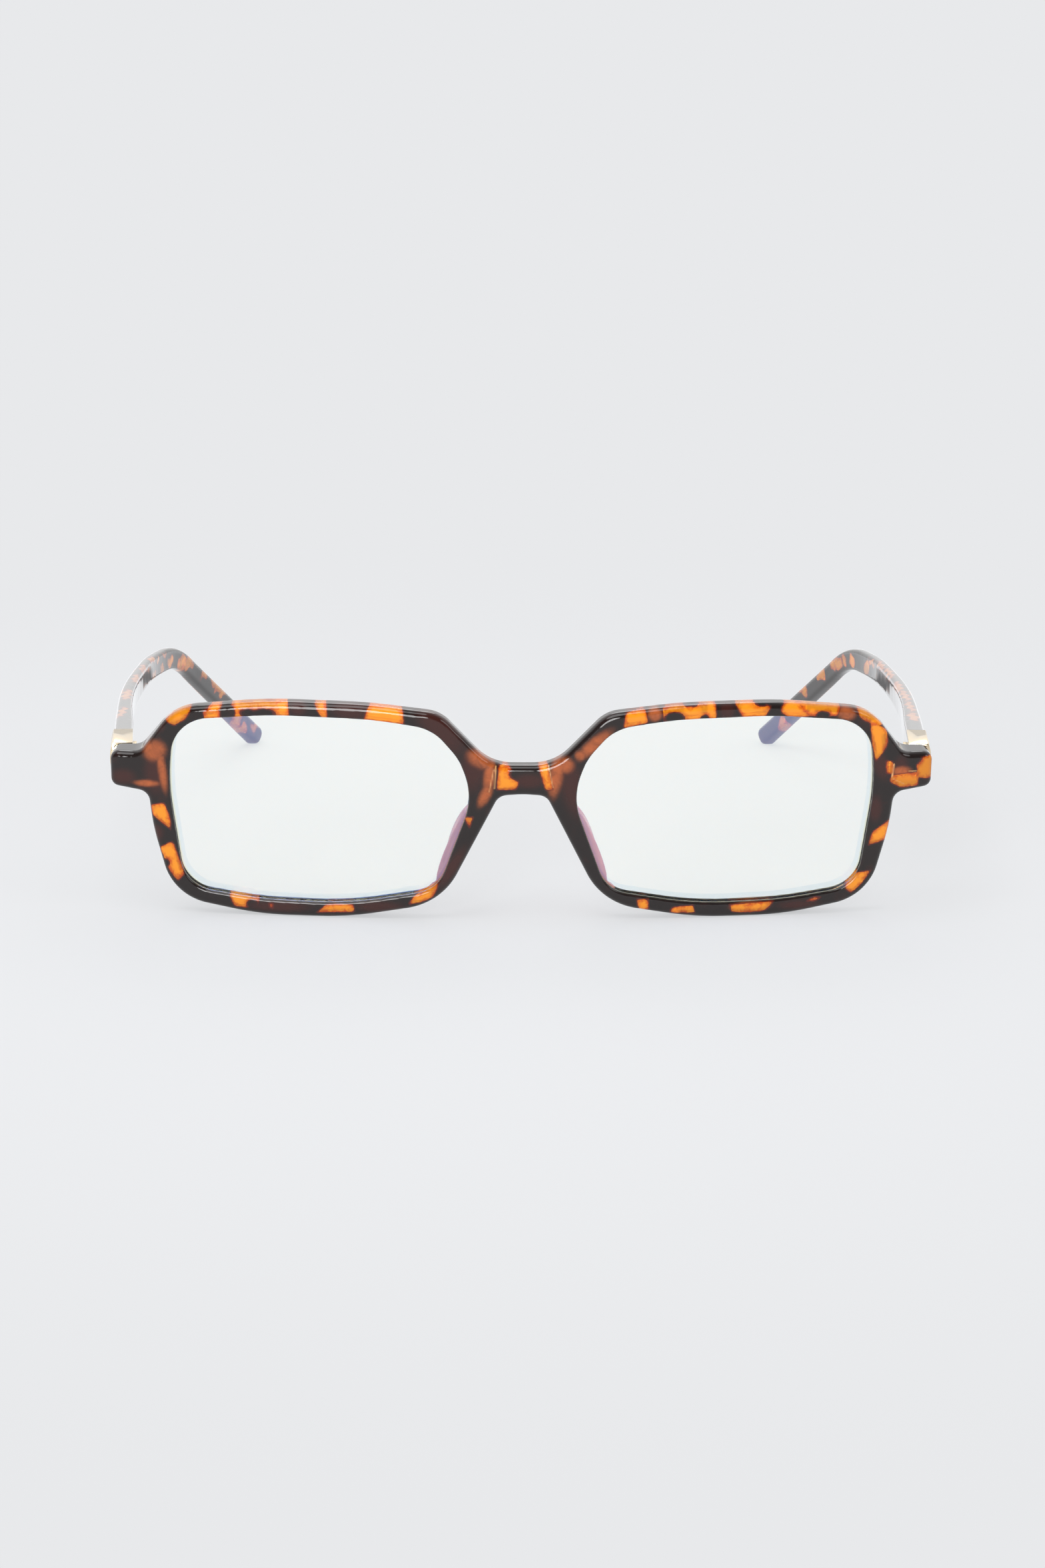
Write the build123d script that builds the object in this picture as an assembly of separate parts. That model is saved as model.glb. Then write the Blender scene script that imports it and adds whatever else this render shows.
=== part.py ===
from build123d import *
import math
import os

# Rectangular full-rim eyeglasses with moulded nose pads and folding temples.
# X runs across the face, Y from the front towards the ears and Z up.
# The right-hand pieces (+X) are drawn and the left-hand ones are their mirror images.
# Lengths are in millimetres and angles in degrees.

# Front
front_depth = 3.9
front_curve_radius = 350.0
front_tilt = 8.0
front_edge_round = 1.15
front_back_round = 0.9

# Lens openings and the rims round them
lens_width = 51.1
lens_height = 33.8
bridge_gap = 18.4
rim_top = 2.5
rim_bottom = 2.8
rim_side = 3.3
rim_nose = 3.1
opening_round = 0.4

# Bridge, placed from the top and the sides of the lens openings
bridge_drop = 8.35
bridge_height = 5.55
bridge_flat_inset = 3.9
bridge_arch_inset = 5.2
bridge_arch_rise = 0.3
bridge_top_radius = 8.0
bridge_arch_radius = 2.3

# Endpieces, which carry the hinges, placed from the top of the lens openings and the rims' sides
endpiece_drop = 7.5
endpiece_tip_height = 6.2
endpiece_root_drop = 1.0
endpiece_root_step = 0.4
endpiece_length = 6.4
endpiece_depth = 6.0
endpiece_top_radius = 2.5
endpiece_bottom_radius = 2.0
endpiece_corner_radius = 1.5
endpiece_back_ramp = 3.3

# Lenses
lens_thickness = 1.8
lens_setback = 1.1
groove_depth = 0.8
lens_bevel = 0.4
lens_clearance = 0.05

# Nose pads, moulded in one with the front
pad_height = 16.5
pad_reach = 4.8
pad_thickness = 2.6
pad_middle_height_share = 0.31
pad_middle_inset = 2.1
pad_lean = 20.0
pad_splay = 24.0
pad_root_overlap = 0.6

# Temples
temple_reach = 121.7
temple_thickness = 3.3
temple_waist_thickness = 2.2
temple_tip_thickness = 2.7
temple_height = 5.7
temple_bend_height = 4.4
temple_tip_height = 3.6
temple_bend_angle = 40.4
temple_sag = 3.2
temple_splay = 4.0
temple_tip_inset = 15.0
temple_bend_radius = 17.2
temple_plan_radius = 66.0
temple_side_radius = 120.0
temple_edge_round = 0.8
temple_tip_radius = 1.5
temple_heel_radius = 1.3
mitre_gap = 0.1

# Metal collar round the front of each temple
collar_length = 10.4
collar_wall = 0.45
collar_side_wall = 0.5
collar_proud = 0.05
collar_dome = 0.55
collar_edge_round = 0.25
collar_clearance = 0.04

# Hinges
pin_radius = 0.6
pin_clearance = 0.04
knuckle_radius = 1.1
knuckle_gap = 0.06
knuckle_side_gap = 0.07
knuckle_front_gap = 0.25
hinge_drop = 0.55
hinge_rise = 0.23
screw_head_radius = 0.95
screw_head_height = 0.5
screw_slot_width = 0.25
screw_slot_depth = 0.25
screw_seat_gap = 0.02
leaf_thickness = 0.6
leaf_length = 9.0
leaf_edge = 0.39
leaf_corner_radius = 0.8
leaf_clearance = 0.03
anchor_width = 5.0
anchor_edge = 0.26
anchor_thickness = 1.0
anchor_cover = 2.2
anchor_window_width = 1.3
anchor_window_height = 1.6
web_half_width = 1.0

# Length by which a cutting body overruns what it cuts
overrun = 100.0

# Sizes that follow from those above
opening_top = rim_bottom + lens_height
front_width = bridge_gap + 2 * (lens_width + rim_side + endpiece_root_step + endpiece_length)
bridge_top_height = opening_top - bridge_drop
endpiece_top_height = opening_top - endpiece_drop
endpiece_bottom_height = endpiece_top_height - endpiece_tip_height
barrel_top = endpiece_top_height - hinge_drop - screw_head_height
barrel_bottom = endpiece_bottom_height + hinge_rise
barrel_height = barrel_top - barrel_bottom
barrel_middle = (barrel_top + barrel_bottom) / 2
knuckle_height = (barrel_height - 2 * knuckle_gap) / 3

# Corners of a lens opening, from the nose side and counter-clockwise backwards:
# share of the width from the nose, share of the height from below, radius as a share of the height.
opening_corner_shares = {
    "nose": (-0.015, 0.583, 0.36),
    "nose_shoulder": (0.032, 0.784, 0.30),
    "nose_top": (0.121, 0.945, 0.24),
    "crown_nose": (0.319, 0.991, 1.8),
    "crown_side": (0.642, 1.004, 1.8),
    "side_top": (0.978, 0.959, 0.21),
    "side": (1.003, 0.612, 1.2),
    "side_bottom": (0.957, 0.062, 0.18),
    "sole_side": (0.701, 0.006, 1.8),
    "sole_nose": (0.407, -0.004, 1.8),
    "nose_bottom": (0.104, 0.077, 0.18),
}

# Steps from a corner of the opening out to the outline of the rim:
# share of the rim's width sideways, share of its height upwards, radius as a share of the lens height.
rim_step_shares = {
    "nose_top": (-0.45, 1.08, 0.18),
    "crown_nose": (0.30, 1.02, 2.4),
    "crown_side": (0.30, 0.96, 2.4),
    "side_top": (0.0, 0.86, 0.27),
    "side": (0.88, 0.0, 1.1),
    "side_bottom": (0.64, -0.75, 0.27),
    "sole_side": (0.0, -1.0, 1.6),
    "sole_nose": (0.0, -1.0, 1.6),
    "nose_bottom": (-0.23, -0.90, 0.35),
}

# How much of the half width of the bridge's arch its rounded crest takes up
bridge_crest_share = 0.375

# How far down the side of the rim, from the endpiece's root to the lower corner, it turns inwards
rim_side_turn_share = 0.336

# Plan of a temple's outer face behind its straight front length:
# share of the reach, share of the splay.
temple_waist_share = 0.426
temple_bend_shares = (0.736, 0.489)
temple_straight_share = 0.165
temple_straight_splay_share = 0.438


def opening_corner(name):
    across, up, radius = opening_corner_shares[name]
    x = bridge_gap / 2 + across * lens_width
    z = rim_bottom + up * lens_height
    return x, z, radius * lens_height


def rim_corner(name):
    """A corner of the rim's outline. Its sole is level, so that the rim stands flat on a table."""
    x, z, _ = opening_corner(name)
    across, up, radius = rim_step_shares[name]
    rim_across = rim_nose if across < 0 else rim_side
    level = z + up * (rim_bottom if up < 0 else rim_top)
    if name in ("sole_side", "sole_nose"):
        level = 0
    if name == "side":
        root = endpiece_bottom_height - endpiece_root_drop
        level = root + rim_side_turn_share * (rim_corner("side_bottom")[1] - root)
    return x + across * rim_across, level, radius * lens_height


def closed_outline(corners):
    """A face in the XZ plane whose corners (x, z, radius) are rounded."""
    points = [(x, z) for x, z, _ in corners]
    radii = [radius for _, _, radius in corners]
    return make_face(Plane.XZ * FilletPolyline(*points, radius=radii, close=True))


def opening_outline(growth=0):
    """The outline of the right lens opening, or of what fits round it by a growth."""
    corners = [opening_corner(name) for name in opening_corner_shares]
    grown = []
    for index, (x, z, radius) in enumerate(corners):
        before = Vector(corners[index - 1][0], corners[index - 1][1])
        after = Vector(corners[(index + 1) % len(corners)][0], corners[(index + 1) % len(corners)][1])
        here = Vector(x, z)
        runs = ((here - before).normalized(), (after - here).normalized())
        normals = [Vector(-run.Y, run.X) for run in runs]
        step = (normals[0] + normals[1]) * (growth / (1 + normals[0].dot(normals[1])))
        grown.append((x + step.X, z + step.Y, radius + growth))
    return closed_outline(grown)


def front_outline():
    bridge_bottom = bridge_top_height - bridge_height
    end_x = front_width / 2
    root_x = end_x - endpiece_length
    root_top_x = end_x - endpiece_length + endpiece_top_radius / 2
    right = [(bridge_gap / 2 - bridge_flat_inset, bridge_top_height, bridge_top_radius)]
    right += [rim_corner(name) for name in ("nose_top", "crown_nose", "crown_side", "side_top")]
    right += [
        (root_top_x, endpiece_top_height, endpiece_top_radius),
        (end_x, endpiece_top_height, endpiece_corner_radius),
        (end_x, endpiece_bottom_height, endpiece_corner_radius),
        (root_x, endpiece_bottom_height - endpiece_root_drop, endpiece_bottom_radius),
    ]
    right += [rim_corner(name) for name in ("side", "side_bottom", "sole_side", "sole_nose", "nose_bottom")]
    arch_half = bridge_gap / 2 - bridge_arch_inset
    right.append((arch_half, bridge_bottom, bridge_arch_radius))
    crest_radius = bridge_crest_share * arch_half**2 / bridge_arch_rise
    crest = (0, bridge_bottom + bridge_arch_rise, crest_radius)
    left = [(-x, z, radius) for x, z, radius in reversed(right)]
    return closed_outline(right + [crest] + left)


def through(face):
    """The prism of an XZ face, from far in front to far behind."""
    return extrude(face, overrun, both=True)


def face_arc(setback):
    """The curve of the front surface across the face, moved back by a setback."""
    half = front_width
    middle_y = setback * math.cos(math.radians(front_tilt))
    end_y = middle_y + front_curve_radius - math.sqrt(front_curve_radius**2 - half**2)
    return ThreePointArc((-half, end_y), (0, middle_y), (half, end_y))


def layer(near, far):
    """The curved, tilted layer between two setbacks behind the front surface."""
    front, back = face_arc(near), face_arc(far)
    profile = front + back + Line(front @ 0, back @ 0) + Line(front @ 1, back @ 1)
    return Rot(front_tilt, 0, 0) * extrude(make_face(profile), overrun, both=True)


def surface_y(x, z):
    """Y of the front surface at a place on the front."""
    sag = front_curve_radius - math.sqrt(front_curve_radius**2 - x**2)
    return sag / math.cos(math.radians(front_tilt)) - z * math.tan(math.radians(front_tilt))


mitre_y = surface_y(front_width / 2, endpiece_top_height) + endpiece_depth
leaf_face_x = front_width / 2 - temple_thickness - leaf_clearance - leaf_thickness
pin_x = leaf_face_x - knuckle_side_gap - knuckle_radius
pin_y = mitre_y + knuckle_front_gap + knuckle_radius
floor_z = front_outline().bounding_box().min.Z


def box_between(low, high):
    size = [b - a for a, b in zip(low, high)]
    middle = [(a + b) / 2 for a, b in zip(low, high)]
    return Pos(*middle) * Box(*size)


def near_surface(edges, setback, tolerance):
    """The edges whose middle lies on the front surface moved back by a setback."""
    chosen = []
    for edge in edges:
        middle = edge @ 0.5
        if abs(middle.Y - surface_y(middle.X, middle.Z) - setback) < tolerance:
            chosen.append(edge)
    return chosen


def endpiece_zone():
    """The room behind the rim in which an endpiece is as deep as its mitre."""
    end_x = front_width / 2
    root_x = end_x - endpiece_length
    slab_back = surface_y(root_x, endpiece_top_height) + front_depth / 2
    plan = Polyline(
        (root_x - endpiece_back_ramp, slab_back),
        (root_x, mitre_y),
        (end_x + endpiece_length, mitre_y),
        (end_x + endpiece_length, slab_back),
        close=True,
    )
    return extrude(make_face(plan), overrun, both=True) & layer(front_depth / 2, overrun)


def anchor_solid(gap):
    """The plate of the front hinge leaf that is moulded into the endpiece, grown by a gap."""
    back = mitre_y - anchor_cover
    plate = box_between(
        (pin_x - anchor_width / 2 - gap, back - anchor_thickness - gap, barrel_bottom + anchor_edge - gap),
        (pin_x + anchor_width / 2 + gap, back + gap, barrel_top - anchor_edge + gap),
    )
    for level in (barrel_bottom, barrel_top - knuckle_height):
        plate += box_between(
            (pin_x - web_half_width - gap, back - gap, level - gap),
            (pin_x + web_half_width + gap, pin_y, level + knuckle_height + gap),
        )
    return plate


def nose_pad():
    """One nose pad: a leaning, splayed half egg on the back of the nose side of the rim."""
    egg = scale(Sphere(1), by=(pad_thickness / 2, pad_reach + pad_root_overlap, pad_height / 2))
    x = bridge_gap / 2 + pad_middle_inset
    z = rim_bottom + pad_middle_height_share * lens_height
    y = surface_y(x, z) + front_depth - pad_root_overlap
    egg = Pos(x, y, z) * Rot(0, -pad_lean, 0) * Rot(0, 0, -pad_splay) * egg
    return egg & layer(front_depth - pad_root_overlap, overrun)


def both_sides(solid):
    return [solid, mirror(solid, about=Plane.YZ)]


def round_opening(body, opening):
    """Cut a lens opening through the rim and round its edges in front and behind."""
    tolerance = opening_round / 4
    rims = (opening & layer(0, front_depth)).edges()
    middles = [edge @ 0.5 for edge in near_surface(rims, 0, tolerance)]
    middles += [edge @ 0.5 for edge in near_surface(rims, front_depth, tolerance)]
    body -= opening
    rounded = [
        edge for edge in body.edges() if min((edge @ 0.5 - middle).length for middle in middles) < tolerance
    ]
    return fillet(rounded, opening_round)


def make_front():
    """The front: both rims, the bridge, the endpieces and the nose pads, in one piece."""
    prism = through(front_outline())
    tolerance = opening_round / 4
    body = prism & layer(0, front_depth)
    body = fillet(near_surface(body.edges(), 0, tolerance), front_edge_round)
    body = fillet(near_surface(body.edges(), front_depth, tolerance), front_back_round)
    for opening in both_sides(through(opening_outline())):
        body = round_opening(body, opening)
    groove = through(opening_outline(groove_depth)) & layer(lens_setback, lens_setback + lens_thickness)
    endpieces = both_sides(prism & endpiece_zone())
    pockets = both_sides(anchor_solid(leaf_clearance))
    for endpiece, seat, pocket in zip(endpieces, both_sides(groove), pockets):
        body = body + endpiece - seat - pocket
    for pad in both_sides(nose_pad()):
        body += pad
    return body


def make_lens():
    """The right lens, bevelled round the edge that sits in the groove."""
    blank = through(opening_outline(groove_depth - lens_clearance))
    blank &= layer(lens_setback + lens_clearance, lens_setback + lens_thickness - lens_clearance)
    return chamfer(blank.edges(), lens_bevel)


def screw_hole(gap):
    return Pos(pin_x, pin_y, barrel_middle) * Cylinder(pin_radius + gap, 2 * barrel_height)


def knuckle(level):
    return Pos(pin_x, pin_y, level + knuckle_height / 2) * Cylinder(knuckle_radius, knuckle_height)


def make_front_leaf():
    """The front hinge leaf: a windowed anchor plate with an upper and a lower knuckle."""
    leaf = anchor_solid(0)
    back = mitre_y - anchor_cover
    low = barrel_middle - anchor_window_height / 2
    high = barrel_middle + anchor_window_height / 2
    for offset_x in (-anchor_width / 3, anchor_width / 3):
        window_x = pin_x + offset_x
        leaf -= box_between(
            (window_x - anchor_window_width / 2, back - 2 * anchor_thickness, low),
            (window_x + anchor_window_width / 2, back + anchor_thickness, high),
        )
    for level in (barrel_bottom, barrel_top - knuckle_height):
        leaf += knuckle(level)
    return leaf - screw_hole(screw_seat_gap)


def make_screw():
    """The hinge screw: a plain shank with a slotted head."""
    shank = Pos(pin_x, pin_y, barrel_top) * Cylinder(
        pin_radius, barrel_height, align=(Align.CENTER, Align.CENTER, Align.MAX)
    )
    head = Pos(pin_x, pin_y, barrel_top) * Cylinder(
        screw_head_radius, screw_head_height, align=(Align.CENTER, Align.CENTER, Align.MIN)
    )
    head = fillet(head.edges().group_by(Axis.Z)[-1], screw_head_height / 4)
    slot = Pos(pin_x, pin_y, barrel_top + screw_head_height) * Box(
        3 * screw_head_radius, screw_slot_width, 2 * screw_slot_depth
    )
    return shank + head - slot


def temple_direction():
    """Angle by which the straight front length of a temple turns outwards."""
    run = temple_straight_share * temple_reach
    return math.degrees(math.atan2(temple_straight_splay_share * temple_splay, run))


def temple_plan():
    """The plan of the right temple, in XY, its outer face first and its inner face back."""
    end_x = front_width / 2
    start_y = mitre_y + mitre_gap
    stations = (
        (0, 0, temple_thickness, 0),
        (temple_straight_share * temple_reach, temple_straight_splay_share * temple_splay,
         temple_thickness, temple_side_radius),
        (temple_waist_share * temple_reach, temple_splay, temple_waist_thickness, 2 * temple_side_radius),
        (temple_bend_shares[0] * temple_reach, temple_bend_shares[1] * temple_splay,
         temple_waist_thickness, temple_plan_radius),
        (temple_reach, -temple_tip_inset, temple_tip_thickness, 0),
    )
    outer = [(end_x + out, start_y + back) for back, out, _, _ in stations]
    bend, tip = Vector(*outer[-2]), Vector(*outer[-1])
    past_tip = tip + (tip - bend).normalized() * (2 * temple_tip_height)
    outer[-1] = (past_tip.X, past_tip.Y)
    inner = []
    for index, (x, y) in enumerate(outer):
        before = outer[max(index - 1, 0)]
        after = outer[min(index + 1, len(outer) - 1)]
        run_x, run_y = after[0] - before[0], after[1] - before[1]
        run = math.hypot(run_x, run_y)
        thickness = stations[index][2]
        inner.append((x - thickness * run_y / run, y + thickness * run_x / run))
    inner[0] = (outer[0][0] - temple_thickness, start_y)
    corners = [(*point, station[3]) for point, station in zip(outer, stations)]
    back_corners = [
        (*point, max(station[3] - station[2], 0)) for point, station in zip(inner, stations)
    ]
    corners += list(reversed(back_corners))
    points = [(x, y) for x, y, _ in corners]
    radii = [radius for _, _, radius in corners]
    return make_face(FilletPolyline(*points, radius=radii, close=True))


def temple_profile():
    """The side view of a temple, in YZ: a level bar that bends down to the tip."""
    start_y = mitre_y + mitre_gap
    top = endpiece_top_height
    angle = math.radians(temple_bend_angle)
    heel_lift = temple_heel_radius * (math.sin(angle) + math.cos(angle) - 1)
    heel = (start_y + temple_reach, floor_z - heel_lift)
    crown = (heel[0] + temple_tip_height * math.sin(angle), heel[1] + temple_tip_height * math.cos(angle))
    slope = temple_sag / temple_reach
    bend_y = (crown[1] + crown[0] * math.tan(angle) - top - slope * start_y) / (math.tan(angle) - slope)
    bend_top = (bend_y, top - slope * (bend_y - start_y))
    under = bend_top[1] - temple_bend_height
    bend_under = (heel[0] - (under - heel[1]) / math.tan(angle), under)
    corners = (
        (start_y, top, 0),
        (*bend_top, temple_bend_radius),
        (*crown, temple_tip_radius),
        (*heel, temple_heel_radius),
        (*bend_under, temple_bend_radius - temple_tip_height),
        (start_y, top - temple_height, 0),
    )
    points = [(y, z) for y, z, _ in corners]
    radii = [radius for _, _, radius in corners]
    return make_face(Plane.YZ * FilletPolyline(*points, radius=radii, close=True))


def temple_seat():
    """Location of the right temple's front outer corner, with Y along its straight front length."""
    return Pos(front_width / 2, mitre_y + mitre_gap, 0) * Rot(0, 0, -temple_direction())


def collar_bar():
    """The full bar of the collar, with its domed outer side and its other sides flush with the temple."""
    top = endpiece_top_height
    bottom = endpiece_top_height - temple_height
    outer = collar_proud
    crown = (outer, (top + bottom) / 2)
    section = Polyline((outer, bottom), (-temple_thickness, bottom), (-temple_thickness, top), (outer, top))
    section += ThreePointArc((outer, top), (crown[0] + collar_dome, crown[1]), (outer, bottom))
    bar = extrude(make_face(Plane.XZ * section), 2 * collar_length, dir=(0, 1, 0))
    outer_edges = bar.edges().filter_by(Axis.Y).group_by(Axis.X)[-1]
    return temple_seat() * fillet(outer_edges, collar_edge_round)


def mitre_cut():
    """Everything in front of the temples' front faces."""
    high = mitre_y + mitre_gap
    return box_between((0, high - overrun, -overrun), (overrun, high, overrun))


def make_temple():
    bar = extrude(temple_plan(), overrun, both=True) & extrude(temple_profile(), overrun, both=True)
    long_edges = [edge for edge in bar.edges() if abs((edge @ 0.5).Y - mitre_y - mitre_gap) > temple_edge_round]
    bar = fillet(long_edges, temple_edge_round)
    wall = collar_wall + collar_clearance
    low = endpiece_top_height - temple_height + wall
    high = endpiece_top_height - wall
    rear = collar_length + collar_clearance
    above = box_between((-overrun, -overrun, high), (overrun, rear, overrun))
    below = box_between((-overrun, -overrun, -overrun), (overrun, rear, low))
    beside_x = collar_proud - collar_side_wall - collar_clearance
    beside = box_between((beside_x, -overrun, -overrun), (overrun, rear, overrun))
    for cut in (above, below, beside):
        bar -= temple_seat() * cut
    return bar


def make_collar():
    """The metal collar: a U over, outside and under the temple, open on the hinge side."""
    room = box_between(
        (-overrun, -overrun, endpiece_top_height - temple_height + collar_wall),
        (collar_proud - collar_side_wall, overrun, endpiece_top_height - collar_wall),
    )
    length = box_between((-overrun, -overrun, -overrun), (overrun, collar_length, overrun))
    return (collar_bar() & (temple_seat() * length)) - temple_seat() * room - mitre_cut()


def make_temple_leaf():
    """The temple hinge leaf: a plate on the temple's inner face with the middle knuckle."""
    low = endpiece_top_height - temple_height + leaf_edge
    face_x = -temple_thickness - leaf_clearance
    plate = temple_seat() * box_between(
        (face_x - leaf_thickness, mitre_gap, low), (face_x, leaf_length, 2 * barrel_middle - low)
    )
    across = plate.edges().filter_by(Axis.X, tolerance=2 * temple_direction())
    plate = fillet(across.group_by(Axis.Y)[-1], leaf_corner_radius)
    level = barrel_bottom + knuckle_height + knuckle_gap
    corner = temple_seat() * Pos(face_x - leaf_thickness / 2, 0, 0)
    web = box_between(
        (pin_x, pin_y - knuckle_radius, level),
        (corner.position.X + leaf_thickness / 2, pin_y + knuckle_radius, level + knuckle_height),
    )
    return plate + web + knuckle(level) - screw_hole(pin_clearance)


right_hand = {
    "lens": make_lens(),
    "hinge_front_leaf": make_front_leaf(),
    "hinge_screw": make_screw(),
    "temple": make_temple(),
    "temple_collar": make_collar(),
    "hinge_temple_leaf": make_temple_leaf(),
}
pieces = {"front_frame": make_front()}
for name, solid in right_hand.items():
    pieces[name + "_right"] = solid
    pieces[name + "_left"] = mirror(solid, about=Plane.YZ)

# The origin lies at the middle of the footprint, on the table.
box = Compound(children=[Part(piece.wrapped) for piece in pieces.values()]).bounding_box()
shift = Pos(0, -(box.min.Y + box.max.Y) / 2, -box.min.Z)

os.makedirs("parts", exist_ok=True)
for name, piece in pieces.items():
    export_step(shift * piece, f"parts/{name}.step")
print("hinge axis", round(pin_x, 4), round(pin_y + shift.position.Y, 4))
print("size", [round(side, 3) for side in box.size])
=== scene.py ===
# Rectangular tortoiseshell eyeglasses on a pale table, seen from the front and a little above
import math
import bmesh
import bpy
import numpy as np
from mathutils import Matrix, Vector


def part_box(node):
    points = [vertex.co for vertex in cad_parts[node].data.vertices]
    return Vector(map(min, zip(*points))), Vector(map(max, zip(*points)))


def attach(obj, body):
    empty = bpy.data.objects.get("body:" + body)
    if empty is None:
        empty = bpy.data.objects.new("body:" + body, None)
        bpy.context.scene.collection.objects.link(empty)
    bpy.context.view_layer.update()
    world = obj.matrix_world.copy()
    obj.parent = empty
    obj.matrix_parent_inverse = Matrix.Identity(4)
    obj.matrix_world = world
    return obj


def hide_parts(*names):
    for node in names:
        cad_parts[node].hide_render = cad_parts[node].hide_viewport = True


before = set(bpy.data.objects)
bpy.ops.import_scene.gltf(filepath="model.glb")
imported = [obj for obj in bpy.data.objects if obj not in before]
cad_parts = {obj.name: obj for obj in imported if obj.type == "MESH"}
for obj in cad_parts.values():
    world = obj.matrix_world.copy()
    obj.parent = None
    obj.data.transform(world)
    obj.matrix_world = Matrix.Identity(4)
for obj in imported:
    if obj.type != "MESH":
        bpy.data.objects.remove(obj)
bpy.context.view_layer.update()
mm = 0.001


# Helpers for objects and shader nodes

def linkPiece(name, data):
    piece = bpy.data.objects.new(name, data)
    bpy.context.scene.collection.objects.link(piece)
    return piece


def newMaterial(name):
    material = bpy.data.materials.new(name)
    material.use_nodes = True
    tree = material.node_tree
    tree.nodes.clear()
    out = tree.nodes.new("ShaderNodeOutputMaterial")
    return material, tree, out.inputs["Surface"]


def newPrincipled(name):
    material, tree, surface = newMaterial(name)
    shader = tree.nodes.new("ShaderNodeBsdfPrincipled")
    tree.links.new(shader.outputs["BSDF"], surface)
    return material, tree, shader


def addNode(tree, kind, **settings):
    node = tree.nodes.new(kind)
    for key, value in settings.items():
        if key in node.inputs:
            node.inputs[key].default_value = value
        else:
            setattr(node, key, value)
    return node


def noise(tree, settings):
    node = addNode(tree, "ShaderNodeTexNoise", **settings)
    place = tree.nodes.new("ShaderNodeTexCoord").outputs["Object"]
    tree.links.new(place, node.inputs["Vector"])
    return node.outputs["Fac"]


def ramp(tree, stops, source, smooth="LINEAR"):
    node = tree.nodes.new("ShaderNodeValToRGB")
    node.color_ramp.interpolation = smooth
    elements = node.color_ramp.elements
    while len(elements) < len(stops):
        elements.new(0.5)
    for element, (place, grey) in zip(elements, stops):
        element.position = place
        element.color = (grey, grey, grey, 1.0)
    tree.links.new(source, node.inputs["Fac"])
    return node.outputs["Color"]


def fade(tree, reach, source, low=0.0, high=1.0, smooth="LINEAR"):
    # runs from low to high while the source runs through its reach
    start, full = reach
    return ramp(tree, ((start, low), (full, high)), source, smooth)


def calc(tree, operation, first, second):
    node = addNode(tree, "ShaderNodeMath", operation=operation)
    for socket, value in zip(node.inputs, (first, second)):
        if isinstance(value, float):
            socket.default_value = value
        else:
            tree.links.new(value, socket)
    return node.outputs["Value"]


def swing(tree, pattern, size):
    # a noise pattern about zero
    return calc(tree, "MULTIPLY", calc(tree, "SUBTRACT", pattern, 0.5), size)


def toShare(tree, source):
    # from -1 to 1, to a share from 0 to 1
    return calc(tree, "ADD", calc(tree, "MULTIPLY", source, 0.5), 0.5)


def mixColour(tree, factor, first, second):
    # a Mix node's colours are its sockets 6 and 7, and its third output
    node = addNode(tree, "ShaderNodeMix", data_type="RGBA", clamp_factor=True)
    tree.links.new(factor, node.inputs[0])
    for socket, value in ((node.inputs[6], first), (node.inputs[7], second)):
        if isinstance(value, tuple):
            socket.default_value = (*value, 1.0)
        else:
            tree.links.new(value, socket)
    return node.outputs[2]


def mixShader(tree, factor, first, second):
    node = tree.nodes.new("ShaderNodeMixShader")
    for socket, value in zip(node.inputs, (factor, first, second)):
        tree.links.new(value, socket)
    return node.outputs["Shader"]


def separate(tree, coordinates):
    node = tree.nodes.new("ShaderNodeSeparateXYZ")
    place = tree.nodes.new("ShaderNodeTexCoord").outputs[coordinates]
    tree.links.new(place, node.inputs["Vector"])
    return node.outputs


# Meshes

polishLook = {
    "mergeReach": 0.002 * mm,
    "voxel": 0.28 * mm,
    "rounds": 3,
    "rub": 0.5,
    "metalBevel": 0.07 * mm,
    "bevelSegments": 2,
    "sharpAngle": 35,  # degrees, past which a metal edge is bevelled and stays sharp
}


def cadCopy(node, name):
    # a CAD mesh is loose triangles, so the copy is merged before it is worked on
    bm = bmesh.new()
    bm.from_mesh(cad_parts[node].data)
    bmesh.ops.remove_doubles(bm, verts=bm.verts, dist=polishLook["mergeReach"])
    mesh = bpy.data.meshes.new(name)
    bm.to_mesh(mesh)
    bm.free()
    return linkPiece(name, mesh)


def applyModifiers(piece):
    graph = bpy.context.evaluated_depsgraph_get()
    mesh = bpy.data.meshes.new_from_object(piece.evaluated_get(graph), depsgraph=graph)
    old = piece.data
    piece.modifiers.clear()
    piece.data = mesh
    bpy.data.meshes.remove(old)
    mesh.name = piece.name


def polished(node, name):
    # the moulded shape, remeshed finely and rubbed smooth as polishing does
    piece = cadCopy(node, name)
    rough = cadCopy(node, name + "Rough")
    remesh = piece.modifiers.new("remesh", "REMESH")
    remesh.mode = "VOXEL"
    remesh.voxel_size = polishLook["voxel"]
    wrap = piece.modifiers.new("wrap", "SHRINKWRAP")
    wrap.target = rough
    wrap.wrap_method = "NEAREST_SURFACEPOINT"
    rub = piece.modifiers.new("rub", "SMOOTH")
    rub.factor = polishLook["rub"]
    rub.iterations = polishLook["rounds"]
    applyModifiers(piece)
    bpy.data.objects.remove(rough)
    piece.data.shade_smooth()
    return piece


def metalPiece(node, name):
    piece = cadCopy(node, name)
    sharp = math.radians(polishLook["sharpAngle"])
    bevel = piece.modifiers.new("bevel", "BEVEL")
    bevel.width = polishLook["metalBevel"]
    bevel.segments = polishLook["bevelSegments"]
    bevel.limit_method = "ANGLE"
    bevel.angle_limit = sharp
    bevel.harden_normals = False
    applyModifiers(piece)
    piece.data.shade_smooth()
    piece.data.set_sharp_from_angle(angle=sharp)
    return piece


def finishPiece(piece, node, body, material):
    piece.data.materials.clear()
    piece.data.materials.append(material)
    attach(piece, body)
    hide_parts(node)


# Tortoiseshell

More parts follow.
